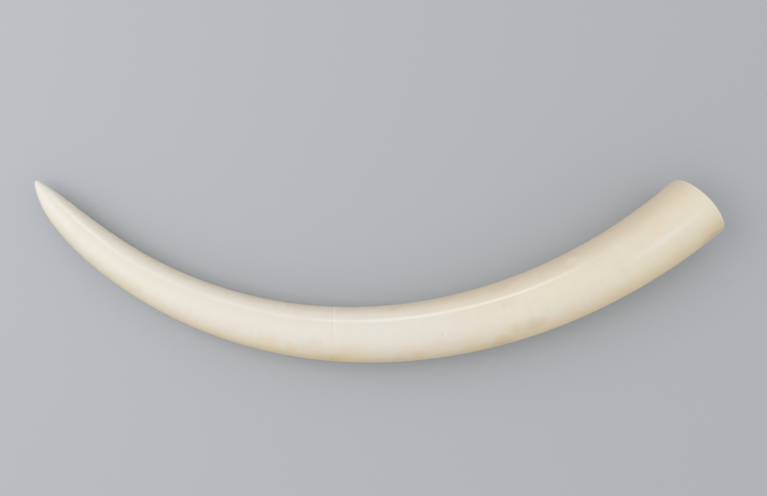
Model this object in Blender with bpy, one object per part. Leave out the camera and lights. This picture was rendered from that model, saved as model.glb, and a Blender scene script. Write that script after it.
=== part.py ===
# A mammoth tusk lying on its side: one solid, lofted ring by ring along its curved middle line.
# Metres, +X to the right, +Y towards the hollow side of the curve, +Z up, the lowest line on Z = 0.

from math import atan, cos, exp, pi, radians, sin, tan

import bmesh
import bpy
from mathutils import Matrix, Vector

# The middle line, walked from the sawn root to the tip
ARC_LENGTH = 1.115  # along the middle line
ROOT_PLACE = (0.48164, 0.09773)  # the root's centre, which puts the whole tusk round the origin
ROOT_HEADING = radians(220.32)  # where the line sets off to, seen from above
ROOT_BEND = 1.157  # bend at the root, in radians a metre
TIP_BEND = 1.853  # bend at the tip, in radians a metre
BEND_POWER = 1.316  # how late the bend tightens
LINE_STEPS = 800  # short steps that the line is added up from

# The section, at any distance from the tip
ROOT_RADIUS = 0.0517  # half the width at the sawn root
POINT_SHARE = 0.241  # share of that radius that the body would have at the tip
BODY_POWER = 0.429  # how the body swells towards the root
NOSE_RADIUS = 0.0016  # roundness of the very tip
POINT_SLOPE = 0.352  # spread of the point behind it
POINT_BLEND = 3.27  # how softly the point passes into the body
SECTION_HEIGHT = 0.95  # height of the section against its width
TIP_RISE = 0.0225  # how far the underside stands off the ground at the tip
RISE_START = 0.75  # share of the length where it leaves the ground

# The worn edge along the upper side
SIDES = 32  # facets round the tusk, one of them flat on the ground
EDGE_STEPS = 2.5  # facets between the top of the section and the worn edge
EDGE_HEIGHT = 0.018  # how far the edge stands out, as a share of the radius
EDGE_SPREAD = 1.0  # facets over which it falls away

# The sawn end and the hollow of the root
CUT_SLANT = radians(10.6)  # the saw cut leans out at the top
CUT_TURN = radians(1.56)  # and a little at the outer side of the curve
CUT_REACH = 0.035  # share of the length over which the rings come square
MOUTH_RADIUS = 0.027  # half the width of the hollow at the cut
HOLLOW_DEPTH = 0.065  # along the middle line
HOLLOW_POWER = 0.72  # how the hollow closes
HOLLOW_RINGS = 10
RIM_ROUND = 0.0026  # rounding of the outer edge of the cut
MOUTH_ROUND = 0.0018  # rounding of the hollow's edge
ROUND_SEGMENTS = 2

# The rings
RINGS = 76
RING_POWER = 1.5  # draws the rings together at the tip

# The finish
IVORY = (0.78, 0.71, 0.60, 1.0)
IVORY_ROUGHNESS = 0.38


def clear_scene():
    for scene_object in list(bpy.data.objects):
        bpy.data.objects.remove(scene_object, do_unlink=True)


def make_collection(name):
    collection = bpy.data.collections.new(name)
    bpy.context.scene.collection.children.link(collection)
    return collection


def ivory_material():
    material = bpy.data.materials.new("ivory")
    material.use_nodes = True
    shader = material.node_tree.nodes["Principled BSDF"]
    shader.inputs["Base Color"].default_value = IVORY
    shader.inputs["Roughness"].default_value = IVORY_ROUGHNESS
    shader.inputs["Metallic"].default_value = 0.0
    return material


def heading_at(share):
    """Direction of the middle line at a share of its length from the root."""
    extra = (TIP_BEND - ROOT_BEND) * share ** (BEND_POWER + 1) / (BEND_POWER + 1)
    return ROOT_HEADING - ARC_LENGTH * (ROOT_BEND * share + extra)


def walk_line():
    """Places along the middle line, seen from above, at equal steps."""
    step = ARC_LENGTH / LINE_STEPS
    places = [Vector(ROOT_PLACE)]
    for number in range(LINE_STEPS):
        heading = heading_at((number + 0.5) / LINE_STEPS)
        places.append(places[-1] + step * Vector((cos(heading), sin(heading))))
    return places


def place_at(places, share):
    """The middle line's place at a share of its length, between two steps."""
    position = min(max(share, 0.0), 1.0) * LINE_STEPS
    before = min(int(position), LINE_STEPS - 1)
    return places[before].lerp(places[before + 1], position - before)


def radius_at(share):
    """Half the width of the tusk: a swelling body, ending in a blunt point."""
    from_tip = (1.0 - share) * ARC_LENGTH
    body = ROOT_RADIUS * (POINT_SHARE + (1.0 - POINT_SHARE) * (1.0 - share) ** BODY_POWER)
    point = (2.0 * NOSE_RADIUS * from_tip + (POINT_SLOPE * from_tip) ** 2) ** 0.5
    return (body ** -POINT_BLEND + point ** -POINT_BLEND) ** (-1.0 / POINT_BLEND)


def rise_at(share):
    """How far the underside stands off the ground."""
    return TIP_RISE * max(0.0, (share - RISE_START) / (1.0 - RISE_START)) ** 2


def height_at(share):
    """Height of the middle line."""
    outside = radius_at(share) if share < 1.0 else 0.0
    return SECTION_HEIGHT * outside + rise_at(share)


def ring_matrix(places, share, radius):
    """Carries a ring of radius 1 to its place across the middle line."""
    heading = heading_at(share)
    along = Vector((cos(heading), sin(heading), 0.0))
    lean = exp(-share / CUT_REACH)
    across = Vector((sin(heading), -cos(heading), 0.0)) + along * tan(CUT_TURN * lean)
    up = Vector((0.0, 0.0, 1.0)) - along * tan(CUT_SLANT * lean)
    place = place_at(places, share)
    matrix = Matrix.Identity(4)
    matrix.col[0] = (*(across * radius), 0.0)
    matrix.col[1] = (*(up * radius * SECTION_HEIGHT), 0.0)
    matrix.col[2] = (*along, 0.0)
    matrix.col[3] = (place.x, place.y, height_at(share), 1.0)
    return matrix


def edge_swell(x, y):
    """Growth of a ring's point near the worn edge, which faces the hollow side of the curve."""
    facet = 2.0 * pi / SIDES
    from_top = atan(x / y) if y > 0.0 else pi
    facets_away = abs(from_top / facet - EDGE_STEPS)
    return 1.0 + EDGE_HEIGHT * max(0.0, 1.0 - facets_away / (EDGE_SPREAD + 1.0))


def first_ring(mesh):
    """A ring of radius 1 whose facets touch the true section, with the worn edge in it."""
    made = bmesh.ops.create_circle(mesh, cap_ends=False, segments=SIDES, radius=1.0 / cos(pi / SIDES))
    points = made["verts"]
    bmesh.ops.rotate(mesh, verts=points, cent=(0, 0, 0), matrix=Matrix.Rotation(pi / SIDES, 3, "Z"))
    for point in points:
        swell = edge_swell(point.co.x, point.co.y)
        point.co *= swell
    return points


def edges_between(points):
    chosen = set(points)
    return list({edge for point in points for edge in point.link_edges if set(edge.verts) <= chosen})


def next_ring(mesh, points, change):
    """Extrudes a ring and moves the new one by a matrix."""
    made = bmesh.ops.extrude_edge_only(mesh, edges=edges_between(points))
    fresh = [item for item in made["geom"] if isinstance(item, bmesh.types.BMVert)]
    bmesh.ops.transform(mesh, matrix=change, verts=fresh)
    return fresh


def close_ring(mesh, points, place):
    """Draws a last ring together in one point."""
    made = bmesh.ops.extrude_edge_only(mesh, edges=edges_between(points))
    fresh = [item for item in made["geom"] if isinstance(item, bmesh.types.BMVert)]
    bmesh.ops.pointmerge(mesh, verts=fresh, merge_co=place)


def loft(mesh, points, matrices):
    """Extrudes from ring to ring; the first matrix is where the given ring already lies."""
    for before, after in zip(matrices, matrices[1:]):
        points = next_ring(mesh, points, after @ before.inverted())
    return points


def middle_at(places, share):
    place = place_at(places, share)
    return Vector((place.x, place.y, height_at(share)))


def outer_matrices(places):
    shares = [1.0 - (1.0 - number / RINGS) ** RING_POWER for number in range(RINGS)]
    return [ring_matrix(places, share, radius_at(share)) for share in shares]


def hollow_matrices(places):
    matrices = []
    for number in range(HOLLOW_RINGS):
        closing = number / HOLLOW_RINGS
        radius = MOUTH_RADIUS * (1.0 - closing) ** HOLLOW_POWER
        share = closing * HOLLOW_DEPTH / ARC_LENGTH
        matrices.append(ring_matrix(places, share, radius))
    return matrices


def build_tusk(collection, material):
    places = walk_line()
    outside = outer_matrices(places)
    hollow = hollow_matrices(places)
    mesh = bmesh.new()

    rim = first_ring(mesh)
    bmesh.ops.transform(mesh, matrix=outside[0], verts=rim)
    last = loft(mesh, rim, outside)
    close_ring(mesh, last, middle_at(places, 1.0))

    mouth = next_ring(mesh, rim, hollow[0] @ outside[0].inverted())
    deepest = loft(mesh, mouth, hollow)
    close_ring(mesh, deepest, middle_at(places, HOLLOW_DEPTH / ARC_LENGTH))

    for points, rounding in ((rim, RIM_ROUND), (mouth, MOUTH_ROUND)):
        bmesh.ops.bevel(
            mesh,
            geom=edges_between(points),
            offset=rounding,
            segments=ROUND_SEGMENTS,
            profile=0.5,
            affect="EDGES",
        )
    bmesh.ops.recalc_face_normals(mesh, faces=mesh.faces)

    data = bpy.data.meshes.new("tusk")
    mesh.to_mesh(data)
    mesh.free()
    data.polygons.foreach_set("use_smooth", [True] * len(data.polygons))
    data.materials.append(material)
    tusk = bpy.data.objects.new("tusk", data)
    collection.objects.link(tusk)
    return tusk


def main():
    clear_scene()
    collection = make_collection("Mammoth tusk")
    build_tusk(collection, ivory_material())


main()
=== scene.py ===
"""The looks of a mammoth tusk that lies on its side: polished cream ivory, sawn off at its hollow root.

Metres, +X towards the sawn root, +Y towards the hollow side of the curve, +Z up. The middle line, the
section, the sawn end and the hollow repeat the named values of the part's own source.
"""

import logging
from dataclasses import dataclass, field
from enum import Enum, IntEnum
from math import atan2, ceil, cos, exp, pi, radians, sin, tan
from typing import Iterator, Union

import bmesh
import bpy
from mathutils import Matrix, Vector, noise


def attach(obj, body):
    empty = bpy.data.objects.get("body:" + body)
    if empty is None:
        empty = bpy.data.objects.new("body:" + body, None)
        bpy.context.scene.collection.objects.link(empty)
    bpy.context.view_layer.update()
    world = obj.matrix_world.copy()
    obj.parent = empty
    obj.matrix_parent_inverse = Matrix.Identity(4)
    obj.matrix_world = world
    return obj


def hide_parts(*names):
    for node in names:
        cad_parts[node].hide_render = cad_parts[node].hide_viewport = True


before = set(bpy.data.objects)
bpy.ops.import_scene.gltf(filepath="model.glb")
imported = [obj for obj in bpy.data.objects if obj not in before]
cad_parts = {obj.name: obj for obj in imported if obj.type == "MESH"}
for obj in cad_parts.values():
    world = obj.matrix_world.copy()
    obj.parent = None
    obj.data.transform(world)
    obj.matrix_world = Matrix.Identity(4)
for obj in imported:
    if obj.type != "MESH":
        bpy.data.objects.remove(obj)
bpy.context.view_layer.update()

Colour = tuple[float, float, float]
Knots = tuple[tuple[float, float], ...]
Passage = tuple[float, ...]  # start and end of a soft passage, then the results before and beyond it

log = logging.getLogger("tusk")


class Mark(Enum):
    """Values that the mesh carries for its finishes."""

    UNROLLED = "unrolled"  # distance from the tip, then the place across, towards +Y and upwards
    EDGE_GAP = "edge_gap"  # distance round the surface from the worn edge
    EDGE_WEAR_AND_HIGHLIGHT = "edge_wear_and_highlight"  # how crisp the worn edge is there, and how bright its wear and painted highlight


class Zone(IntEnum):
    """Surfaces of the tusk, in the order of its material slots."""

    SKIN = 0
    SAWN = 1
    HOLLOW = 2


class Sum(Enum):
    """Sums that a finish makes with its values."""

    ADD = "ADD"
    SUBTRACT = "SUBTRACT"
    MULTIPLY = "MULTIPLY"
    DIVIDE = "DIVIDE"
    ABSOLUTE = "ABSOLUTE"
    SINE = "SINE"
    ANGLE = "ARCTAN2"
    LOGARITHM = "LOGARITHM"


def smooth_step(value: float, low: float, high: float) -> float:
    """Rises softly from 0 to 1 while a value passes from low to high."""
    share = min(1.0, max(0.0, (value - low) / (high - low)))
    return share * share * (3.0 - 2.0 * share)


def quarter_turn(steps: int) -> Iterator[tuple[float, float]]:
    """Lists the sine and the cosine of equal steps up to a quarter turn."""
    for number in range(1, steps + 1):
        angle = 0.5 * pi * number / steps
        yield sin(angle), cos(angle)


def add_object(name: str, data: bpy.types.ID) -> bpy.types.Object:
    """Puts an object with this data in the scene."""
    item = bpy.data.objects.new(name, data)
    bpy.context.scene.collection.objects.link(item)
    return item


def add_mesh(name: str, mesh: bmesh.types.BMesh) -> bpy.types.Object:
    """Puts a finished mesh in the scene, as an object."""
    data = bpy.data.meshes.new(name)
    mesh.to_mesh(data)
    mesh.free()
    return add_object(name, data)


def through_knots(knots: Knots, at: float) -> float:
    """Follows a smooth curve through knots, level beyond the first and the last.

    Args:
        knots: Pairs of a place and the value there, in the order of their places.
        at: The place to read.

    Returns:
        The value at that place.
    """
    if at <= knots[0][0]:
        return knots[0][1]
    if at >= knots[-1][0]:
        return knots[-1][1]
    number = next(index for index in range(1, len(knots)) if at <= knots[index][0]) - 1
    (start, low), (end, high) = knots[number], knots[number + 1]
    before = knots[max(number - 1, 0)]
    after = knots[min(number + 2, len(knots) - 1)]
    width = end - start
    leaving = (high - before[1]) / (end - before[0]) * width
    arriving = (after[1] - low) / (after[0] - start) * width
    share = (at - start) / width
    return (
        low * (2.0 * share ** 3 - 3.0 * share ** 2 + 1.0)
        + leaving * (share ** 3 - 2.0 * share ** 2 + share)
        + high * (3.0 * share ** 2 - 2.0 * share ** 3)
        + arriving * (share ** 3 - share ** 2)
    )


@dataclass
class MiddleLine:
    """The line that the tusk grew along, walked from the sawn root to the tip."""

    length: float = 1.115
    root_place: tuple[float, float] = (0.48164, 0.09773)
    root_heading: float = radians(220.32)  # from +X, seen from above
    root_bend: float = 1.157  # turn at the root, in radians a metre
    tip_bend: float = 1.853
    bend_power: float = 1.316  # the higher, the later the bend tightens
    steps: int = 800
    places: list[Vector] = field(init=False)

    def __post_init__(self) -> None:
        """Adds the line up from short steps."""
        step = self.length / self.steps
        self.places = [Vector(self.root_place)]
        for number in range(self.steps):
            heading = self.heading_at((number + 0.5) / self.steps)
            self.places.append(self.places[-1] + step * Vector((cos(heading), sin(heading))))

    def heading_at(self, share: float) -> float:
        """Gives the line's direction at a share of its length from the root, in radians from +X."""
        extra = (self.tip_bend - self.root_bend) * share ** (self.bend_power + 1) / (self.bend_power + 1)
        return self.root_heading - self.length * (self.root_bend * share + extra)

    def place_at(self, share: float) -> Vector:
        """Gives a place on the line, seen from above.

        Args:
            share: Place along the line, 0 at the root and 1 at the tip.

        Returns:
            The place, as X and Y.
        """
        position = min(max(share, 0.0), 1.0) * self.steps
        before = min(int(position), self.steps - 1)
        return self.places[before].lerp(self.places[before + 1], position - before)


@dataclass
class Section:
    """The tusk's size across and its height above the ground."""

    root_radius: float = 0.0517
    point_share: float = 0.241  # the body's radius where the tip is, as a share of the root's
    body_power: float = 0.429  # the lower, the later the body thins
    nose_radius: float = 0.0016
    point_slope: float = 0.352  # how fast the point widens
    point_blend: float = 3.27  # how sharply the point passes into the body
    height: float = 0.95  # as a share of the width
    tip_rise: float = 0.0225  # how far the tip stands off the ground
    rise_start: float = 0.75  # share of the length where the rise starts

    def radius_at(self, share: float, length: float) -> float:
        """Gives half the width: a swelling body that ends in a blunt point.

        Args:
            share: Place along the middle line, 0 at the root and 1 at the tip.
            length: Length of the middle line.

        Returns:
            The radius, in metres.
        """
        from_tip = (1.0 - share) * length
        swelling = (1.0 - self.point_share) * (1.0 - share) ** self.body_power
        body = self.root_radius * (self.point_share + swelling)
        point = (2.0 * self.nose_radius * from_tip + (self.point_slope * from_tip) ** 2) ** 0.5
        return (body ** -self.point_blend + point ** -self.point_blend) ** (-1.0 / self.point_blend)

    def rise_at(self, share: float) -> float:
        """Tells how far the underside stands off the ground at a share of the length."""
        return self.tip_rise * max(0.0, (share - self.rise_start) / (1.0 - self.rise_start)) ** 2


@dataclass
class WornEdge:
    """The low crease worn along the upper side, towards the hollow side of the curve."""

    height: float = 0.009  # how far it stands out where it is crisp, as a share of the radius
    spread: float = radians(12.0)  # turn over which it falls away
    softness: float = radians(1.6)  # turn over which its crest is rounded
    turns: Knots = (
        (0.04, 34.0), (0.10, 31.5), (0.19, 28.3), (0.27, 31.5), (0.36, 33.4),
        (0.51, 32.3), (0.69, 33.0), (0.83, 30.6), (0.95, 31.5), (1.05, 29.0),
    )  # distance from the tip, and degrees from the top of the section
    crispness: Knots = (
        (0.02, 0.0), (0.06, 0.40), (0.11, 0.62), (0.19, 0.35), (0.29, 0.26), (0.35, 0.34), (0.44, 0.28),
        (0.52, 0.48), (0.60, 0.62), (0.645, 0.82), (0.69, 0.66), (0.73, 0.76), (0.79, 0.90),
        (0.84, 0.70), (0.89, 0.44), (0.93, 0.16), (0.98, 0.06), (1.04, 0.0),
    )  # distance from the tip, and how strong the edge is there

    def turn_at(self, from_tip: float) -> float:
        """Gives the crest's turn from the top of the section, in radians."""
        return radians(through_knots(self.turns, from_tip))

    def strength_at(self, from_tip: float) -> float:
        """Gives the crest's strength, from 0 to 1."""
        return min(1.0, max(0.0, through_knots(self.crispness, from_tip)))

    def swell_at(self, gap: float) -> float:
        """Gives the crisp crease's height, as a share of the radius, at a turn away from its crest."""
        away = (gap * gap + self.softness * self.softness) ** 0.5
        return self.height * exp(-away / self.spread)


@dataclass
class SawnEnd:
    """The sawn face at the root and the hollow that opens in it."""

    slant: float = radians(10.6)  # the cut leans out at the top
    turn: float = radians(1.56)  # and a little at the outer side of the curve
    reach: float = 0.035  # share of the length over which the rings come square
    rim_round: float = 0.0026
    rim_rings: int = 7
    face_step: float = 0.0010  # between the rings of the sawn face
    mouth_radius: float = 0.027
    mouth_round: float = 0.0020
    mouth_rings: int = 5
    hollow_depth: float = 0.065
    hollow_power: float = 0.72  # how the hollow closes
    hollow_rings: int = 34
    hollow_gather: float = 1.5  # draws the rings together at the hollow's end

    def hollow_radius_at(self, depth: float) -> float:
        """Gives half the width of the hollow at a depth below the cut."""
        return self.mouth_radius * (1.0 - min(1.0, depth / self.hollow_depth)) ** self.hollow_power


@dataclass
class Relief:
    """Low unevenness of the skin, left by growth, wear and polish."""

    swell: float = 0.00028  # broad hollows and swells
    swell_size: float = 0.085  # across the tusk
    swell_squeeze: float = 0.55  # that size, as a share of their size along the tusk
    flute: float = 0.00010  # long shallow flats round the section
    flutes: int = 7
    flute_wander: float = 0.9  # how far they wander round the section, in half waves
    wander_size: float = 0.31
    wander_spot: tuple[float, float] = (7.3, 2.1)
    ring: float = 0.00003  # growth rings across the tusk
    ring_size: float = 0.0125
    ring_bend: float = 0.35  # how far they bend round the section, as a share of their size
    bend_fineness: float = 1.7  # of the bends, against the swells
    bend_spot: tuple[float, float, float] = (5.0, 0.0, 0.0)
    ring_drift: float = 3.0  # how unevenly they are spaced
    resting: float = 0.14  # share of the section, from the underside up, where the relief fades
    thin: float = 0.02  # radius under which it fades

    def height_at(self, from_tip: float, turn: float, radius: float) -> float:
        """Gives the relief's height above the even form.

        Args:
            from_tip: Distance from the tip.
            turn: Turn from the top of the section, in radians.
            radius: Half the width there.

        Returns:
            The height, in metres.
        """
        across = Vector((sin(turn), cos(turn))) * radius
        place = Vector((from_tip * self.swell_squeeze, across.x, across.y)) / self.swell_size
        slow = noise.noise(Vector((from_tip / self.wander_size, *self.wander_spot)))
        swell = self.swell * noise.noise(place)
        flute = self.flute * cos(self.flutes * turn + self.flute_wander * slow * pi)
        bend = self.ring_bend * noise.noise(place * self.bend_fineness + Vector(self.bend_spot))
        ring = self.ring * sin(2.0 * pi * (from_tip / self.ring_size + bend) + self.ring_drift * slow)
        fade = smooth_step(1.0 + cos(turn), 0.0, self.resting)
        return (swell + flute + ring) * fade * min(1.0, radius / self.thin)


@dataclass
class Ring:
    """One ring of the surface, where the faces that lead to it belong to one zone."""

    from_cut: float
    radius: float
    zone: Zone
    points: list[bmesh.types.BMVert] = field(default_factory=list)


@dataclass
class Tusk:
    """The whole tusk: skin, sawn face and hollow, in one closed piece."""

    name: str = "ivory_tusk"
    line: MiddleLine = field(default_factory=MiddleLine)
    section: Section = field(default_factory=Section)
    edge: WornEdge = field(default_factory=WornEdge)
    end: SawnEnd = field(default_factory=SawnEnd)
    relief: Relief = field(default_factory=Relief)
    sides: int = 144
    gather: float = 0.55  # draws the sides together at the worn edge
    skin_start: float = 0.75  # share of the radius where the skin's relief starts
    weld: float = 0.001  # distance between points that are one, before the body is bent
    ring_step: float = 0.00235  # between the rings of the skin
    nose_length: float = 0.006
    nose_rings: int = 10

    def radius_at(self, from_cut: float) -> float:
        """Gives half the width at a distance from the cut."""
        return self.section.radius_at(from_cut / self.line.length, self.line.length)

    def skin_rings(self) -> Iterator[Ring]:
        """Lists the rings of the skin from the tip to the start of the rim's rounding.

        Returns:
            The rings, in order.
        """
        length = self.line.length
        nose = [self.nose_length * (number / self.nose_rings) ** 2 for number in range(1, self.nose_rings)]
        last = length - self.end.rim_round
        count = round((last - self.nose_length) / self.ring_step)
        step = (last - self.nose_length) / count
        body = [self.nose_length + step * number for number in range(count + 1)]
        for from_tip in nose + body:
            yield Ring(length - from_tip, self.radius_at(length - from_tip), Zone.SKIN)

    def rim_rings(self) -> Iterator[Ring]:
        """Lists the rings of the rim's rounding.

        Returns:
            The rings, in order.
        """
        for sine, cosine in quarter_turn(self.end.rim_rings):
            from_cut = self.end.rim_round * (1.0 - sine)
            inset = self.end.rim_round * (1.0 - cosine)
            yield Ring(from_cut, self.radius_at(from_cut) - inset, Zone.SKIN)

    def face_rings(self) -> Iterator[Ring]:
        """Lists the rings of the sawn face, from the rim to the hollow's mouth.

        Returns:
            The rings, in order.
        """
        start = self.radius_at(0.0) - self.end.rim_round
        width = start - self.end.mouth_radius - self.end.mouth_round
        count = round(width / self.end.face_step)
        for number in range(1, count + 1):
            yield Ring(0.0, start - width * number / count, Zone.SAWN)
        for sine, cosine in quarter_turn(self.end.mouth_rings):
            from_cut = self.end.mouth_round * (1.0 - cosine)
            widening = self.end.mouth_round * (1.0 - sine)
            yield Ring(from_cut, self.end.hollow_radius_at(from_cut) + widening, Zone.SAWN)

    def hollow_rings(self) -> Iterator[Ring]:
        """Lists the rings of the hollow's wall.

        Returns:
            The rings, in order.
        """
        first = self.end.mouth_round
        for number in range(1, self.end.hollow_rings):
            left = (1.0 - number / self.end.hollow_rings) ** self.end.hollow_gather
            depth = self.end.hollow_depth - (self.end.hollow_depth - first) * left
            yield Ring(depth, self.end.hollow_radius_at(depth), Zone.HOLLOW)

    def matrix_at(self, ring: Ring) -> Matrix:
        """Finds what carries a ring of radius 1 to its place, with +Y of the ring upwards.

        Args:
            ring: The ring.

        Returns:
            The matrix, which has no twist along the tusk.
        """
        share = ring.from_cut / self.line.length
        heading = self.line.heading_at(share)
        along = Vector((cos(heading), sin(heading), 0.0))
        lean = exp(-share / self.end.reach)
        across = Vector((sin(heading), -cos(heading), 0.0)) + along * tan(self.end.turn * lean)
        up = Vector((0.0, 0.0, 1.0)) - along * tan(self.end.slant * lean)
        middle = self.middle_at(ring.from_cut)
        matrix = Matrix.Identity(4)
        matrix.col[0] = (*(across * ring.radius), 0.0)
        matrix.col[1] = (*(up * ring.radius * self.section.height), 0.0)
        matrix.col[2] = (*along, 0.0)
        matrix.col[3] = (*middle, 1.0)
        return matrix

    def middle_at(self, from_cut: float) -> Vector:
        """Gives the middle line's place at a distance from the cut."""
        share = min(1.0, from_cut / self.line.length)
        place = self.line.place_at(share)
        outside = self.radius_at(from_cut) if share < 1.0 else 0.0
        return Vector((place.x, place.y, self.section.height * outside + self.section.rise_at(share)))

    def turn_body(self, mesh: bmesh.types.BMesh, rings: list[Ring]) -> None:
        """Turns a straight body with a point at both ends, and rings of radius 1 that lie one unit apart.

        Args:
            mesh: The mesh to turn it in.
            rings: The rings, which receive their points.
        """
        last = bmesh.ops.create_vert(mesh, co=(0.0, 0.0, -1.0))["vert"][0]
        places = [Vector((0.0, 1.0, float(number))) for number in range(len(rings))]
        for place in [*places, Vector((0.0, 0.0, float(len(rings))))]:
            made = bmesh.ops.extrude_vert_indiv(mesh, verts=[last])
            bmesh.ops.translate(mesh, verts=made["verts"], vec=place - last.co)
            last = made["verts"][0]
        bmesh.ops.spin(
            mesh,
            geom=[*mesh.verts, *mesh.edges],
            cent=(0.0, 0.0, 0.0),
            axis=(0.0, 0.0, 1.0),
            angle=2.0 * pi,
            steps=self.sides,
            use_merge=True,
        )
        bmesh.ops.remove_doubles(mesh, verts=mesh.verts, dist=self.weld)
        for point in mesh.verts:
            number = round(point.co.z)
            if 0 <= number < len(rings):
                rings[number].points.append(point)
        for face in mesh.faces:
            number = ceil(face.calc_center_bounds().z)
            face.material_index = rings[min(number, len(rings) - 1)].zone

    def bend_ring(self, mesh: bmesh.types.BMesh, ring: Ring) -> None:
        """Lays a ring in its place, with its relief, and gives its points the values that the finishes read.

        Args:
            mesh: The mesh.
            ring: The ring.
        """
        unrolled = mesh.verts.layers.float_vector[Mark.UNROLLED.value]
        edge_gap = mesh.verts.layers.float[Mark.EDGE_GAP.value]
        edge_wear_and_highlight = mesh.verts.layers.float[Mark.EDGE_WEAR_AND_HIGHLIGHT.value]
        from_tip = self.line.length - ring.from_cut
        outside = self.radius_at(ring.from_cut)
        crest = self.edge.turn_at(from_tip)
        crispness = self.edge.strength_at(from_tip)
        skin_full = 1.0 - 0.5 * self.end.rim_round / outside
        near_skin = smooth_step(ring.radius / outside, self.skin_start, skin_full)
        matrix = self.matrix_at(ring)
        for point in ring.points:
            even = atan2(point.co.x, point.co.y)
            gap = even - self.gather * sin(even)
            turn = crest + gap
            height = self.relief.height_at(from_tip, turn, outside)
            height += outside * crispness * self.edge.swell_at(gap)
            reach = 1.0 + near_skin * height / ring.radius
            point.co = matrix @ Vector((reach * sin(turn), reach * cos(turn), 0.0))
            point.co.z = max(0.0, point.co.z)
            point[unrolled] = Vector((from_tip, ring.radius * sin(turn), ring.radius * cos(turn)))
            point[edge_gap] = abs(gap) * outside
            point[edge_wear_and_highlight] = crispness

    def build(self) -> bpy.types.Object:
        """Builds the tusk as one closed mesh: turned straight, then bent along its middle line.

        Returns:
            The object, at the origin.
        """
        mesh = bmesh.new()
        unrolled = mesh.verts.layers.float_vector.new(Mark.UNROLLED.value)
        mesh.verts.layers.float.new(Mark.EDGE_GAP.value)
        mesh.verts.layers.float.new(Mark.EDGE_WEAR_AND_HIGHLIGHT.value)
        rings = [*self.skin_rings(), *self.rim_rings(), *self.face_rings(), *self.hollow_rings()]
        self.turn_body(mesh, rings)
        on_axis = (point for point in mesh.verts if point.co.xy.length < 0.5)  # the others lie at radius 1
        ends = sorted(on_axis, key=lambda point: point.co.z)
        for ring in rings:
            self.bend_ring(mesh, ring)
        for point, from_cut in zip(ends, (self.line.length, self.end.hollow_depth)):
            point.co = self.middle_at(from_cut)
            point[unrolled] = Vector((self.line.length - from_cut, 0.0, 0.0))
        bmesh.ops.recalc_face_normals(mesh, faces=mesh.faces)
        piece = add_mesh(self.name, mesh)
        piece.data.shade_smooth()
        return piece

    def dress(self, piece: bpy.types.Object, finishes: dict[Zone, bpy.types.Material]) -> None:
        """Puts the finishes on the zones, and the piece in its place in the frame.

        Args:
            piece: The built tusk.
            finishes: The material of each zone.
        """
        for zone in sorted(finishes):
            piece.data.materials.append(finishes[zone])
        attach(piece, "root")
        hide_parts("tusk")


class Signal:
    """A number, place or colour that varies over a surface, and the steps that the finishes take with it."""

    def __init__(self, recipe: "Recipe", socket: bpy.types.NodeSocket) -> None:
        """Keeps the recipe and the socket that the value comes from."""
        self.recipe = recipe
        self.socket = socket

    def sum(self, kind: Sum, other: "Number" = 0.0) -> "Signal":
        """Makes a sum with another number, or of this one alone."""
        return self.recipe.step("Math", {0: self, 1: other}, operation=kind.value)

    def __add__(self, other: "Number") -> "Signal":
        """Adds."""
        return self.sum(Sum.ADD, other)

    def __sub__(self, other: "Number") -> "Signal":
        """Takes away."""
        return self.sum(Sum.SUBTRACT, other)

    def __mul__(self, other: "Number") -> "Signal":
        """Multiplies."""
        return self.sum(Sum.MULTIPLY, other)

    def __truediv__(self, other: "Number") -> "Signal":
        """Divides."""
        return self.sum(Sum.DIVIDE, other)

    def __abs__(self) -> "Signal":
        """Drops the sign."""
        return self.sum(Sum.ABSOLUTE)

    def rise(self, low: "Number", high: float, before: float = 0.0, beyond: float = 1.0) -> "Signal":
        """Passes softly from before to beyond while this number goes from low to high."""
        inputs = dict(enumerate((self, low, high, before, beyond)))
        return self.recipe.step("MapRange", inputs, interpolation_type="SMOOTHSTEP")

    def split(self) -> list["Signal"]:
        """Parts a place into its three numbers."""
        node = self.recipe.step("SeparateXYZ", {0: self}).socket.node
        return [Signal(self.recipe, output) for output in node.outputs]

    def stretch(self, scale: Colour, shift: Colour = (0.0, 0.0, 0.0)) -> "Signal":
        """Scales a place along its three directions, then shifts it."""
        return self.recipe.step("VectorMath", {0: self, 1: scale, 2: shift}, operation="MULTIPLY_ADD")

    def across(self) -> "Signal":
        """Takes the distance from the tip out of an unrolled place."""
        return self.stretch((0.0, 1.0, 1.0))

    def length(self) -> "Signal":
        """Measures a place's distance from the origin."""
        return self.recipe.step("VectorMath", {0: self}, "Value", operation="LENGTH")


Number = Union[float, Signal]
Tint = Union[Colour, Signal]
Inputs = dict[Union[int, str], Union[Number, Tint]]


@dataclass(frozen=True)
class Show:
    """How strongly a layer shows in the three things that a finish changes."""

    light: float = 0.0  # how light the tint is
    dull: float = 0.0  # the roughness
    height: float = 0.0  # the bump, as a share of the finish's relief


Layers = list[tuple[Signal, Show]]


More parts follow.
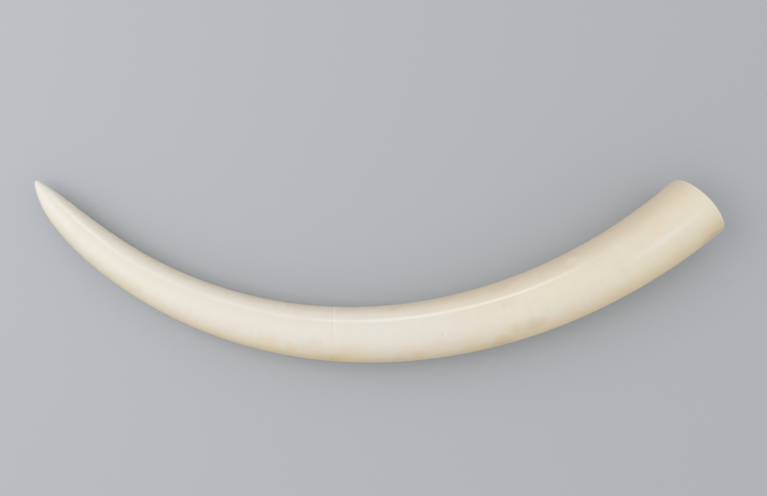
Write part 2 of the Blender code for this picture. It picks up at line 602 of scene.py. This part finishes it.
class Recipe:
    """A material's nodes."""

    MIX_FACTOR, MIX_FIRST, MIX_SECOND, MIX_RESULT = 0, 6, 7, 2

    def __init__(self, name: str) -> None:
        """Starts a material with a name."""
        self.material = bpy.data.materials.new(name)
        self.material.use_nodes = True
        self.tree = self.material.node_tree
        self.shader = self.tree.nodes["Principled BSDF"]

    def feed(self, socket: bpy.types.NodeSocket, value: Union[Number, Tint]) -> None:
        """Sets a socket to a value, or links it to a signal.

        Args:
            socket: The input.
            value: What it gets.
        """
        if isinstance(value, Signal):
            self.tree.links.new(value.socket, socket)
        elif socket.type == "RGBA":
            socket.default_value = (*value, 1.0)
        else:
            socket.default_value = value

    def step(self, kind: str, inputs: Inputs, output: Union[int, str] = 0, **settings: object) -> Signal:
        """Adds a node and feeds it.

        Args:
            kind: The node's type, without the leading ShaderNode.
            inputs: What its inputs get, by their number or name.
            output: The output that is used.
            settings: Properties to set on it.

        Returns:
            What comes out of it.
        """
        node = self.tree.nodes.new("ShaderNode" + kind)
        for name, value in settings.items():
            setattr(node, name, value)
        for key, value in inputs.items():
            self.feed(node.inputs[key], value)
        return Signal(self, node.outputs[output])

    def read(self, mark: Mark, output: str = "Fac") -> Signal:
        """Reads a number that the mesh carries, or a place if the output is Vector."""
        return self.step("Attribute", {}, output, attribute_name=mark.value)

    def blend(self, first: Tint, second: Tint, amount: Number) -> Signal:
        """Passes from the first colour, at an amount of 0, to the second, at an amount of 1."""
        inputs = {self.MIX_FACTOR: amount, self.MIX_FIRST: first, self.MIX_SECOND: second}
        return self.step("Mix", inputs, self.MIX_RESULT, data_type="RGBA", clamp_factor=True)

    def coat(self, tint: Tint, base: Show, relief: float, layers: Layers) -> bpy.types.Material:
        """Feeds the shader with a tint, a roughness and a bump.

        Args:
            tint: The tint.
            base: Its light, its roughness and its height without the layers.
            relief: The height that counts as 1, in metres.
            layers: What changes them, and how strongly.

        Returns:
            The material.
        """
        totals: list[Number] = [base.light, base.dull, base.height]
        for signal, show in layers:
            for number, weight in enumerate((show.light, show.dull, show.height)):
                if weight:
                    totals[number] = signal * weight + totals[number]
        light, dull, height = totals
        shaded = self.step("VectorMath", {0: tint, "Scale": light}, operation="SCALE")
        bump = self.step("Bump", {"Strength": 1.0, "Distance": relief, "Height": height})
        for name, value in {"Base Color": shaded, "Roughness": dull, "Normal": bump}.items():
            self.feed(self.shader.inputs[name], value)
        return self.material


@dataclass(frozen=True)
class Grain:
    """A soft noise round 0, and how strongly it shows."""

    along: float  # its fineness along the tusk, in lumps a metre
    across: float  # and across it
    detail: float = 3.0  # how many finer layers it has
    rough: float = 0.6  # how strong those layers are
    warp: float = 0.0  # how far it is stirred
    shift: Colour = (0.0, 0.0, 0.0)  # moves it, so that two grains differ
    show: Show = Show()

    def read(self, place: Signal, output: str) -> Signal:
        """Reads the noise from 0 to 1: one number for Fac, or three that differ for Color."""
        inputs = {"Scale": 1.0, "Detail": self.detail, "Roughness": self.rough, "Distortion": self.warp}
        inputs["Vector"] = place.stretch((self.along, self.across, self.across), self.shift)
        return place.recipe.step("TexNoise", inputs, output, noise_dimensions="3D")

    def lay(self, place: Signal) -> Signal:
        """Makes the noise, round 0."""
        return self.read(place, "Fac") - 0.5


@dataclass(frozen=True)
class Drift:
    """A soft drift of a colour, each of its three parts by itself."""

    grain: Grain
    strength: Colour  # how far each part drifts, from its least to its most

    def lay(self, colour: Signal, place: Signal) -> Signal:
        """Lets a colour drift over the unrolled place."""
        least = tuple(1.0 - 0.5 * part for part in self.strength)
        factor = self.grain.read(place, "Color").stretch(self.strength, least)
        return place.recipe.step("VectorMath", {0: colour, 1: factor}, operation="MULTIPLY")


@dataclass(frozen=True)
class Wash:
    """A tint that comes or goes over a soft passage."""

    tint: Colour
    passage: Passage

    def lay(self, under: Tint, value: Signal, gate: Number = 1.0) -> Signal:
        """Lays the tint over a colour, as strongly as the passage gives at a value, times a gate."""
        return value.recipe.blend(under, self.tint, value.rise(*self.passage) * gate)


@dataclass(frozen=True)
class LongTint:
    """A tint that changes along the tusk."""

    tip: Colour
    belly: Colour  # at the middle of the curve
    root: Colour
    to_belly: Passage = (0.06, 0.46)  # by the distance from the tip
    to_root: Passage = (0.58, 1.04)

    def lay(self, from_tip: Signal) -> Signal:
        """Spreads the tint along the tusk, by the distance from the tip."""
        first = from_tip.recipe.blend(self.tip, self.belly, from_tip.rise(*self.to_belly))
        return from_tip.recipe.blend(first, self.root, from_tip.rise(*self.to_root))


@dataclass(frozen=True)
class Stain:
    """A soft stain at one place on the skin."""

    from_tip: float
    turn: float  # degrees from the top of the section, positive towards the hollow side of the curve
    half_length: float
    half_width: float
    tint: Colour
    strength: float
    core: float = 0.25  # share of its size where it starts to fade
    edge: float = 1.15  # and where it is gone

    def lay(self, under: Signal, place: Signal, radius: float, stir: Signal) -> Signal:
        """Lays the stain over a colour.

        Args:
            under: The colour under it.
            place: The unrolled place.
            radius: Half the width of the tusk at the stain.
            stir: A noise round 0 that frays its outline.

        Returns:
            The stained colour.
        """
        middle = (self.from_tip, radius * sin(radians(self.turn)), radius * cos(radians(self.turn)))
        reach = (self.half_length, self.half_width, self.half_width)
        scale = tuple(1.0 / size for size in reach)
        shift = tuple(-spot / size for spot, size in zip(middle, reach))
        gap = place.stretch(scale, shift).length() + stir
        return place.recipe.blend(under, self.tint, gap.rise(self.core, self.edge, self.strength, 0.0))


@dataclass(frozen=True)
class Hairline:
    """A fine line across the upper side, part of the way round, with a rosy band beside it."""

    from_tip: float  # where it crosses the top of the section
    first_side: float  # how far towards the hollow side of the curve it starts and ends
    last_side: float
    fade: float
    strength: float
    band_side: float  # how far towards the hollow side the band beside it starts
    band: float  # the band's strength
    band_gap: float = 0.0026
    band_half_width: float = 0.0030
    band_tint: Colour = (0.88, 0.788, 0.715)
    lean: float = 0.114  # how much nearer to the tip it comes, for each metre towards the hollow side
    lowest: Passage = (-0.010, 0.0)  # heights over which it ends on the sides
    half_width: float = 0.0009
    waver: float = 0.0012
    tint: Colour = (0.58, 0.42, 0.36)

    def lay(self, under: Signal, place: Signal, stir: Signal) -> tuple[Signal, Signal]:
        """Lays the line over a colour.

        Args:
            under: The colour under it.
            place: The unrolled place.
            stir: A noise round 0 that makes it waver.

        Returns:
            The new colour, and how strongly the line shows at each place.
        """
        from_tip, side, top = place.split()
        gap = from_tip + side * self.lean + (stir * self.waver - self.from_tip)
        end = side.rise(self.last_side, self.last_side + self.fade, 1.0, 0.0) * top.rise(*self.lowest)
        line = end * side.rise(self.first_side - self.fade, self.first_side)
        line *= abs(gap).rise(0.0, self.half_width, self.strength, 0.0)
        beside = end * side.rise(self.band_side - self.fade, self.band_side)
        beside *= abs(gap - self.band_gap).rise(0.0, self.band_half_width, self.band, 0.0)
        blend = place.recipe.blend
        return blend(blend(under, self.band_tint, beside), self.tint, line), line


@dataclass(frozen=True)
class Flanks:
    """Where the skin's flanks and its underside lie round the section."""

    patchy: float = 0.55  # how far the patches shift the flanks' outlines, as a share of the radius
    streaky: float = 0.50  # and how far the streaks do
    outer: Passage = (0.26, 0.96)  # by the place across, as a share of the radius
    inner_start: Passage = (0.55, 0.95, 0.63, 0.0)  # the inner flank's start, by the distance from the tip
    inner_full: float = 1.13  # where it is full
    inner_calm: float = 0.6  # the share of the shifts that it takes
    under: Passage = (0.15, 0.95)  # by the place downwards
    under_patchy: float = 0.25
    least: float = 0.0004  # added to the radius, so that the axis has a place across too

    def find(self, place: Signal, patches: Signal, streaks: Signal) -> tuple[Signal, ...]:
        """Finds how far a place lies towards each flank and the underside.

        Args:
            place: The unrolled place.
            patches: A noise round 0 that makes the flanks' tints patchy.
            streaks: A noise round 0 that frays them into streaks across the tusk.

        Returns:
            The weights of the outer flank, the inner flank and the underside, from 0 to 1.
        """
        from_tip, side, top = place.split()
        radius = place.across().length() + self.least
        fray = patches * self.patchy + streaks * self.streaky
        outer = (fray - side / radius).rise(*self.outer)
        start = from_tip.rise(*self.inner_start)
        inner = (fray * self.inner_calm + side / radius).rise(start, self.inner_full)
        return outer, inner, (patches * self.under_patchy - top / radius).rise(*self.under)


IVORY_IOR = 1.54

TAN = (0.74, 0.585, 0.37)
AMBER = (0.80, 0.60, 0.34)
LILAC = (0.795, 0.73, 0.665)
COOL = (0.785, 0.76, 0.685)
SAGE = (0.785, 0.752, 0.60)
PALE = (0.90, 0.86, 0.76)
RUSSET = (0.68, 0.51, 0.38)
OCHRE = (0.68, 0.50, 0.24)
OLIVE = (0.56, 0.48, 0.32)
FAWN = (0.764, 0.712, 0.568)
# painted shade, used on the root's upper side
PAINTED_SHADE_SAND = (0.778, 0.716, 0.575)
ROSE = (0.78, 0.66, 0.57)
BLUSH = (0.83, 0.735, 0.67)
# painted shade, used along the tip's outer edge
SHADE = (0.60, 0.57, 0.50)
PEACH = (0.83, 0.675, 0.49)
BROWN = (0.60, 0.48, 0.34)

STAINS: tuple[Stain, ...] = tuple(Stain(*row) for row in (
    # painted shade along the tip's outer edge
    (0.026, -64.0, 0.016, 0.006, SHADE, 0.42),
    (0.058, 56.0, 0.030, 0.008, TAN, 0.26),
    (0.203, 63.0, 0.014, 0.010, PALE, 0.25),
    (0.283, 63.0, 0.014, 0.009, BROWN, 0.20),
    (0.285, -40.0, 0.016, 0.008, TAN, 0.16),
    (0.356, -46.0, 0.016, 0.010, AMBER, 0.22),
    (0.416, -65.0, 0.018, 0.010, AMBER, 0.36),
    (0.506, -54.0, 0.018, 0.014, AMBER, 0.30),
    (0.590, -58.0, 0.075, 0.009, AMBER, 0.42),
    (0.535, -62.0, 0.020, 0.016, AMBER, 0.62),
    (0.528, -56.0, 0.014, 0.010, OCHRE, 0.26),
    (0.590, -45.0, 0.034, 0.010, LILAC, 0.40),
    (0.650, -52.0, 0.018, 0.012, AMBER, 0.22),
    (0.745, -58.0, 0.022, 0.014, AMBER, 0.30),
    (0.768, -56.0, 0.018, 0.010, BROWN, 0.30),
    (0.770, -65.0, 0.026, 0.011, BROWN, 0.34),
    (0.772, -50.0, 0.016, 0.009, AMBER, 0.34),
    (0.768, -45.0, 0.014, 0.009, OCHRE, 0.22),
    (0.695, -50.0, 0.013, 0.009, PEACH, 0.34),
    (0.632, -51.0, 0.012, 0.009, LILAC, 0.40),
    (0.815, -25.0, 0.010, 0.007, BROWN, 0.10),
    (0.703, -43.0, 0.020, 0.010, BLUSH, 0.42),
    (0.895, -40.0, 0.034, 0.009, BLUSH, 0.42),
    (0.483, -44.0, 0.014, 0.008, BLUSH, 0.26),
    (0.440, 64.0, 0.012, 0.012, PALE, 0.24),
    (0.171, 49.0, 0.014, 0.009, PALE, 0.22),
    (0.906, 49.0, 0.015, 0.011, PALE, 0.22),
    (0.525, 63.0, 0.016, 0.010, ROSE, 0.48),
    (0.618, 63.0, 0.014, 0.010, BROWN, 0.18),
    (0.791, -32.0, 0.009, 0.011, BROWN, 0.20),
    (0.820, -35.0, 0.021, 0.012, BROWN, 0.28),
    (0.745, 24.0, 0.060, 0.022, FAWN, 0.50),
    # painted shade over the root's upper side, towards the hollow side
    (0.990, 14.0, 0.150, 0.026, PAINTED_SHADE_SAND, 0.60),
    (0.786, 58.0, 0.024, 0.012, RUSSET, 0.27),
    (0.781, 18.0, 0.007, 0.012, RUSSET, 0.10),
    (0.792, 19.0, 0.014, 0.014, BROWN, 0.14),
    (0.739, 57.0, 0.009, 0.010, RUSSET, 0.18),
    (0.684, -24.0, 0.009, 0.013, ROSE, 0.25),
    (0.705, 4.0, 0.042, 0.020, LILAC, 0.40),
    (0.592, 12.0, 0.034, 0.018, COOL, 0.40),
    (0.870, 6.0, 0.085, 0.026, SAGE, 0.50),
    (0.240, 12.0, 0.022, 0.012, SAGE, 0.30),
    (0.210, 38.0, 0.018, 0.008, LILAC, 0.35),
    (0.500, -22.0, 0.014, 0.012, OLIVE, 0.14),
    (0.490, 24.0, 0.020, 0.010, LILAC, 0.30),
    (1.033, 19.0, 0.011, 0.013, PEACH, 0.50),
    (1.088, 27.0, 0.011, 0.010, PEACH, 0.46),
    (1.094, -44.0, 0.020, 0.020, AMBER, 0.20),
    (1.106, -45.0, 0.011, 0.012, AMBER, 0.30),
    (1.070, -45.0, 0.012, 0.010, PEACH, 0.30),
    (1.098, -63.0, 0.024, 0.013, BROWN, 0.52),
    # painted highlight along the top near the root
    (1.035, -3.0, 0.075, 0.007, PALE, 0.42),
    (0.5343, -63.8, 0.0040, 0.0040, OCHRE, 0.80),
    (0.5255, -66.8, 0.0034, 0.0034, OLIVE, 0.60),
    (0.5231, 26.3, 0.0030, 0.0030, OLIVE, 0.19),
    (1.1104, -46.0, 0.0015, 0.0048, OCHRE, 0.55),
    (0.4726, -38.6, 0.0026, 0.0026, OLIVE, 0.30),
    (0.6852, -9.1, 0.0030, 0.0030, BROWN, 0.22),
))


@dataclass(frozen=True)
class IvoryFinish:
    """Polished ivory: a cream skin with tan and olive flanks, partly painted shade, soft stains, and a pale
    worn edge that is partly a painted highlight.
    """

    body: LongTint = LongTint((0.803, 0.763, 0.662), (0.799, 0.752, 0.652), (0.838, 0.760, 0.605))
    # the flanks are darker than the body: tan and olive stain, and partly painted shade
    outer_flank: LongTint = LongTint((0.745, 0.680, 0.530), (0.757, 0.622, 0.415), (0.840, 0.690, 0.452))
    inner_flank: LongTint = LongTint((0.790, 0.718, 0.545), (0.695, 0.598, 0.432), (0.685, 0.575, 0.422))
    flanks: Flanks = Flanks()
    olive_streaks: Wash = Wash((0.72, 0.655, 0.45), (0.0, 0.16, 0.0, 0.80))  # in the outer flank, by the hue
    russet_streaks: Wash = Wash((0.70, 0.545, 0.40), (-0.14, 0.02, 0.70, 0.0))  # in the inner flank
    fresh: Passage = (0.80, 1.0, 1.0, 0.35)  # how far both show, by the distance from the tip
    # darker and browner towards the underside
    underside: Colour = (0.62, 0.55, 0.41)
    underside_strength: float = 0.45
    nose: Wash = Wash((0.80, 0.765, 0.69), (0.030, 0.110, 0.55, 0.0))  # by the distance from the tip
    rim_highlight: Wash = Wash(PALE, (-0.0010, 0.0, 0.0, 0.45))  # a painted highlight, pale on the rim's rounding, by the distance past the rim's start
    rim_share: float = 0.8  # the part of the rim's rounding that it covers
    wear_and_highlight: Colour = (0.93, 0.90, 0.83)  # the worn edge where it is crisp: paler wear, and a painted highlight on its crest
    wear_and_highlight_strength: float = 0.30
    # lightens the tint along the worn edge as a painted highlight, and makes it glossier
    wear_and_highlight_show: Show = Show(light=0.13, dull=-0.10)
    wear_and_highlight_reach: float = 0.0069  # half its width where it is faint
    wear_and_highlight_narrowing: float = 0.0036  # and how much less that is where it is crisp
    patches: Grain = Grain(15.0, 24.0, rough=0.55, warp=0.3)
    stir: Grain = Grain(60.0, 90.0, detail=4.0)
    stir_strength: float = 1.1
    bands: Grain = Grain(95.0, 5.0, warp=0.2, show=Show(0.055, 0.0, 0.5))
    fibres: Grain = Grain(9.0, 380.0, show=Show(0.030, 0.08, 0.25))
    mottle: Grain = Grain(26.0, 55.0, detail=4.0, shift=(3.0, 1.0, 2.0), show=Show(0.050, 0.10, 0.4))
    streaks: Grain = Grain(64.0, 15.0, 4.0, 0.72, 0.3, (2.0, 5.0, 1.0), Show(light=0.040))
    gate: Grain = Grain(12.0, 15.0, detail=2.0, rough=0.5, shift=(4.0, 9.0, 3.0))
    gate_passage: Passage = (-0.12, 0.12, 0.40, 1.50)  # how strong the streaks are, by the gate
    hue: Grain = Grain(44.0, 13.0, 4.0, 0.7, 0.3, (6.0, 2.0, 8.0))
    drifts: tuple[Drift, ...] = (
        Drift(Grain(160.0, 26.0, shift=(1.7, 4.1, 2.9)), (0.050, 0.016, 0.070)),
        Drift(Grain(26.0, 44.0, shift=(1.7, 4.1, 2.9)), (0.070, 0.020, 0.090)),
    )
    body_drift: float = 0.4  # how far the drifts show on the body
    flank_drift: float = 0.6  # and how much further on the flanks
    hairlines: tuple[Hairline, ...] = (
        Hairline(0.5256, 0.0265, 0.060, 0.012, 0.28, 0.010, 0.58),
        Hairline(0.5253, -0.014, 0.012, 0.008, 0.12, -0.010, 0.24, band_gap=0.0040),
    )
    groove: Show = Show(height=-1.0)  # how the lines show
    flank_show: Show = Show(dull=0.04)
    underside_show: Show = Show(dull=0.06)
    base: Show = Show(1.0, 0.56)
    relief: float = 0.00010

    def flank_tints(self, place: Signal, patches: Signal, streaks: Signal) -> tuple[Signal, ...]:
        """Tints the body, both flanks and the underside; the flanks' darkening is partly painted shade.

        Args:
            place: The unrolled place.
            patches: A noise round 0 that makes the flanks patchy.
            streaks: A noise round 0 that frays them.

        Returns:
            The tint, and the weights of the outer flank, the inner flank and the underside.
        """
        recipe = place.recipe
        from_tip = place.split()[0]
        hue = self.hue.lay(place)
        fresh = from_tip.rise(*self.fresh)
        outer, inner, under = self.flanks.find(place, patches, streaks)
        outer_tint = self.olive_streaks.lay(self.outer_flank.lay(from_tip), hue, fresh)
        inner_tint = self.russet_streaks.lay(self.inner_flank.lay(from_tip), hue, fresh)
        tint = recipe.blend(self.body.lay(from_tip), outer_tint, outer)
        tint = recipe.blend(tint, inner_tint, inner)
        return recipe.blend(tint, self.underside, under * self.underside_strength), outer, inner, under

    def find_wear_and_highlight(self, recipe: Recipe) -> Signal:
        """Finds how strongly the worn edge shows at each place, from 0 to 1: paler wear, and a painted
        highlight on its crest.
        """
        edge_crispness = recipe.read(Mark.EDGE_WEAR_AND_HIGHLIGHT)
        reach = edge_crispness * -self.wear_and_highlight_narrowing + self.wear_and_highlight_reach
        return edge_crispness * (recipe.read(Mark.EDGE_GAP) / reach).rise(0.0, 1.0, 1.0, 0.0)

    def make(self, tusk: Tusk) -> bpy.types.Material:
        """Makes the material.

        Args:
            tusk: The tusk, which tells where a stain and the rim lie.

        Returns:
            The material.
        """
        recipe = Recipe("polished ivory")
        recipe.shader.inputs["IOR"].default_value = IVORY_IOR
        place = recipe.read(Mark.UNROLLED, "Vector")
        from_tip = place.split()[0]
        stir = self.stir.lay(place) * self.stir_strength
        streaks = self.streaks.lay(place) * self.gate.lay(place).rise(*self.gate_passage)
        tint, outer, inner, under = self.flank_tints(place, self.patches.lay(place), streaks)
        for stain in STAINS:
            tint = stain.lay(tint, place, tusk.radius_at(tusk.line.length - stain.from_tip), stir)
        tint = self.nose.lay(tint, from_tip)
        drifted = tint
        for drift in self.drifts:
            drifted = drift.lay(drifted, place)
        tint = recipe.blend(tint, drifted, (outer + inner) * self.flank_drift + self.body_drift)
        layers = [(item.lay(place), item.show) for item in (self.bands, self.fibres, self.mottle)]
        for hairline in self.hairlines:
            tint, line = hairline.lay(tint, place, stir)
            layers.append((line, self.groove))
        rim_start = tusk.line.length - self.rim_share * tusk.end.rim_round
        tint = self.rim_highlight.lay(tint, from_tip - rim_start)
        # the worn edge: paler wear, and a painted highlight on its crest
        wear_and_highlight = self.find_wear_and_highlight(recipe)
        tint = recipe.blend(tint, self.wear_and_highlight, wear_and_highlight * self.wear_and_highlight_strength)
        layers += [(streaks, self.streaks.show), (wear_and_highlight, self.wear_and_highlight_show)]
        layers += [(outer, self.flank_show), (under, self.underside_show)]
        return recipe.coat(tint, self.base, self.relief, layers)


@dataclass(frozen=True)
class SawnFinish:
    """The sawn face: growth rings, the dentine's crossing spiral lines, and the darker outer layer."""

    heart: Colour = (0.67, 0.56, 0.39)  # towards the hollow
    dentine: Wash = Wash((0.80, 0.73, 0.585), (0.027, 0.040))  # by the distance from the middle
    crust: Wash = Wash((0.69, 0.58, 0.40), (-0.0002, 0.0006, 0.0, 0.60))  # the outer layer
    crust_line: Wash = Wash((0.88, 0.80, 0.65), (0.0, 0.0007, 0.6, 0.0))  # the pale line inside it
    crust_depth: float = 0.0047  # from the skin to the outer layer's start
    crust_line_gap: float = 0.0005
    waver: Grain = Grain(60.0, 60.0, detail=2.0, rough=0.5)
    mottle: Grain = Grain(90.0, 90.0, detail=5.0, rough=0.65, show=Show(0.16, 0.12, 0.4))
    ring_size: float = 0.0031
    ring_waver: float = 0.0016
    ring_show: Show = Show(light=0.014, height=0.08)
    fine_share: float = 0.31  # size of the fine rings, as a share of the others'
    fine_waver: float = 3.0
    fine_show: Show = Show(light=0.010)
    spirals: int = 46  # half as many as the crossing lines each way
    spiral_slope: float = 0.84  # they cross at twice this slope's angle, about 80 degrees
    spiral_waver: float = 0.10
    spiral_level: float = 0.4  # about the mean of the lozenges between them
    spiral_start: Passage = (0.032, 0.046)  # by the distance from the middle
    spiral_fray: float = 0.02
    spiral_show: Show = Show(light=0.100)
    saw_step: float = 0.0017  # between the scores
    saw_turn: float = radians(28.0)  # from upright
    saw_detail: float = 3.0
    saw_rough: float = 0.6
    saw_show: Show = Show(0.13, 0.20, 1.0)
    base: Show = Show(0.985, 0.56)
    relief: float = 0.00018

    def crossing(self, place: Signal, waver: Signal) -> Signal:
        """Makes the crossing spirals, round 0.

        Args:
            place: The unrolled place.
            waver: A noise round 0 that bends them.

        Returns:
            The pattern: pale lozenges between darker lines.
        """
        side, top = place.split()[1:]
        turn = side.sum(Sum.ANGLE, top) + waver * self.spiral_waver
        outward = place.across().length().sum(Sum.LOGARITHM, exp(1.0)) * self.spiral_slope
        one_way = abs(((turn + outward) * self.spirals).sum(Sum.SINE))
        other_way = abs(((turn - outward) * self.spirals).sum(Sum.SINE))
        return one_way * other_way - self.spiral_level

    def scores(self, place: Signal) -> Signal:
        """Makes the saw's straight scores: a noise round 0 that varies one way alone.

        Args:
            place: The unrolled place.

        Returns:
            The scores.
        """
        across, along = cos(self.saw_turn) / self.saw_step, sin(self.saw_turn) / self.saw_step
        side, top = place.stretch((0.0, across, along)).split()[1:]
        inputs = {"W": side + top, "Scale": 1.0, "Detail": self.saw_detail, "Roughness": self.saw_rough}
        return place.recipe.step("TexNoise", inputs, noise_dimensions="1D") - 0.5

    def make(self, tusk: Tusk) -> bpy.types.Material:
        """Makes the material.

        Args:
            tusk: The tusk, which tells how wide the face is.

        Returns:
            The material.
        """
        recipe = Recipe("sawn ivory")
        recipe.shader.inputs["IOR"].default_value = IVORY_IOR
        place = recipe.read(Mark.UNROLLED, "Vector")
        waver = self.waver.lay(place)
        mottle = self.mottle.lay(place)
        reach = place.across().length()
        wavy = reach + waver * self.ring_waver
        ring_turn = 2.0 * pi / self.ring_size
        fine = (wavy * (ring_turn / self.fine_share) + waver * self.fine_waver).sum(Sum.SINE)
        lozenges = self.crossing(place, waver) * (reach + mottle * self.spiral_fray).rise(*self.spiral_start)
        past_crust = wavy - (tusk.radius_at(0.0) - self.crust_depth)
        tint = self.dentine.lay(self.heart, wavy)
        tint = self.crust_line.lay(tint, abs(past_crust + self.crust_line_gap))
        return recipe.coat(self.crust.lay(tint, past_crust), self.base, self.relief, [
            ((wavy * ring_turn).sum(Sum.SINE), self.ring_show),
            (fine, self.fine_show),
            (lozenges, self.spiral_show),
            (mottle, self.mottle.show),
            (self.scores(place), self.saw_show),
        ])


@dataclass(frozen=True)
class HollowFinish:
    """The wall of the hollow: darker and browner with depth as painted shade, finely ribbed along the tusk
    and dusty.
    """

    mouth: Colour = (0.62, 0.51, 0.36)
    # painted shade deep in the hollow
    depth: Colour = (0.34, 0.25, 0.16)
    painted_shade_start: float = 0.004  # below the cut
    painted_shade_full: float = 0.010  # above the hollow's end
    painted_shade_fray: float = 0.02
    dust: Wash = Wash((0.58, 0.52, 0.42), (0.05, 0.30, 0.0, 0.35))  # by the mottle
    ribs: Grain = Grain(22.0, 22.0, detail=4.0, rough=0.65, show=Show(0.35, 0.0, 1.0))
    ribs_start: Passage = (0.001, 0.010)  # by the distance from the middle
    steps: Grain = Grain(260.0, 12.0, show=Show(0.20, 0.0, 0.5))
    mottle: Grain = Grain(120.0, 120.0, detail=5.0, rough=0.65, show=Show(0.0, 0.15, 0.4))
    base: Show = Show(1.0, 0.72)
    relief: float = 0.0004

    def make(self, tusk: Tusk) -> bpy.types.Material:
        """Makes the material.

        Args:
            tusk: The tusk, which tells where the hollow ends.

        Returns:
            The material.
        """
        recipe = Recipe("hollow wall")
        place = recipe.read(Mark.UNROLLED, "Vector")
        direction = recipe.step("VectorMath", {0: place.across()}, operation="NORMALIZE")
        ribs = self.ribs.lay(direction) * place.across().length().rise(*self.ribs_start)
        mottle = self.mottle.lay(place)
        end = tusk.line.length - tusk.end.hollow_depth + self.painted_shade_full
        start = tusk.line.length - self.painted_shade_start
        # painted shade: darker towards the hollow's end
        depth = (place.split()[0] + mottle * self.painted_shade_fray).rise(end, start, 1.0, 0.0)
        tint = self.dust.lay(recipe.blend(self.mouth, self.depth, depth), mottle)
        return recipe.coat(tint, self.base, self.relief, [
            (ribs, self.ribs.show),
            (self.steps.lay(place), self.steps.show),
            (mottle, self.mottle.show),
        ])


@dataclass(frozen=True)
class PaperFinish:
    """The studio's pale paper, plain, with a faint tooth."""

    tint: Colour = (0.48, 0.50, 0.53)
    tooth: Grain = Grain(700.0, 700.0, show=Show(0.03, 0.0, 1.0))
    cloud: Grain = Grain(1.3, 1.3, detail=1.0, rough=0.5, show=Show(light=0.02))
    base: Show = Show(1.0, 0.9)
    relief: float = 0.0002
    shine: float = 0.2

    def make(self) -> bpy.types.Material:
        """Makes the material.

        Returns:
            The material.
        """
        recipe = Recipe("floor paper")
        recipe.shader.inputs["Specular IOR Level"].default_value = self.shine
        place = recipe.step("TexCoord", {}, "Object")
        layers = [(item.lay(place), item.show) for item in (self.tooth, self.cloud)]
        return recipe.coat(self.tint, self.base, self.relief, layers)


@dataclass(frozen=True)
class Lamp:
    """A square soft light that faces the middle of the floor."""

    name: str
    azimuth: float  # degrees from +X, seen from above
    elevation: float  # degrees above the floor
    power: float
    distance: float = 2.6
    size: float = 2.0
    tint: Colour = (1.0, 1.0, 1.0)

    def hang(self) -> bpy.types.Object:
        """Makes the light.

        Returns:
            The light's object.
        """
        data = bpy.data.lights.new(self.name, "AREA")
        data.shape = "SQUARE"
        data.size = self.size
        data.energy = self.power
        data.color = self.tint
        level = cos(radians(self.elevation))
        towards = Vector((
            level * cos(radians(self.azimuth)),
            level * sin(radians(self.azimuth)),
            sin(radians(self.elevation)),
        ))
        lamp = add_object(self.name, data)
        lamp.location = towards * self.distance
        lamp.rotation_mode = "QUATERNION"
        lamp.rotation_quaternion = (-towards).to_track_quat("-Z", "Y")
        return lamp


@dataclass
class Studio:
    """The plain floor, the soft light and the camera above the tusk."""

    floor_half: float = 6.0
    paper: PaperFinish = PaperFinish()
    room_light: float = 0.77
    lamps: tuple[Lamp, ...] = (Lamp("key light", 162.0, 51.0, 20.7),)
    camera_place: tuple[float, float, float] = (0.01306, 0.03479, 1.64)
    lens: float = 50.0
    sensor: float = 36.0

    def build_floor(self) -> bpy.types.Object:
        """Makes the floor.

        Returns:
            The floor's object.
        """
        mesh = bmesh.new()
        bmesh.ops.create_grid(mesh, x_segments=1, y_segments=1, size=self.floor_half)
        floor = add_mesh("floor", mesh)
        floor.data.materials.append(self.paper.make())
        return floor

    def light(self) -> None:
        """Hangs the lamps and sets the even light of the room."""
        world = bpy.data.worlds.new("room")
        world.use_nodes = True
        room = world.node_tree.nodes["Background"]
        room.inputs["Color"].default_value = (1.0, 1.0, 1.0, 1.0)
        room.inputs["Strength"].default_value = self.room_light
        bpy.context.scene.world = world
        for lamp in self.lamps:
            lamp.hang()

    def place_camera(self) -> None:
        """Puts the camera straight above the tusk, with +Y up in the picture."""
        data = bpy.data.cameras.new("camera")
        data.lens = self.lens
        data.sensor_width = self.sensor
        camera = add_object("camera", data)
        camera.location = self.camera_place
        bpy.context.scene.camera = camera
        bpy.context.scene.view_settings.view_transform = "Standard"


def main() -> None:
    """Builds and dresses the tusk, then sets up the studio."""
    logging.basicConfig(level=logging.INFO, format="%(name)s: %(message)s")
    tusk = Tusk()
    piece = tusk.build()
    finishes = {
        Zone.SKIN: IvoryFinish().make(tusk),
        Zone.SAWN: SawnFinish().make(tusk),
        Zone.HOLLOW: HollowFinish().make(tusk),
    }
    tusk.dress(piece, finishes)
    log.info("%s: %d faces", piece.name, len(piece.data.polygons))
    studio = Studio()
    studio.build_floor()
    studio.light()
    studio.place_camera()


if __name__ == "__main__":
    main()
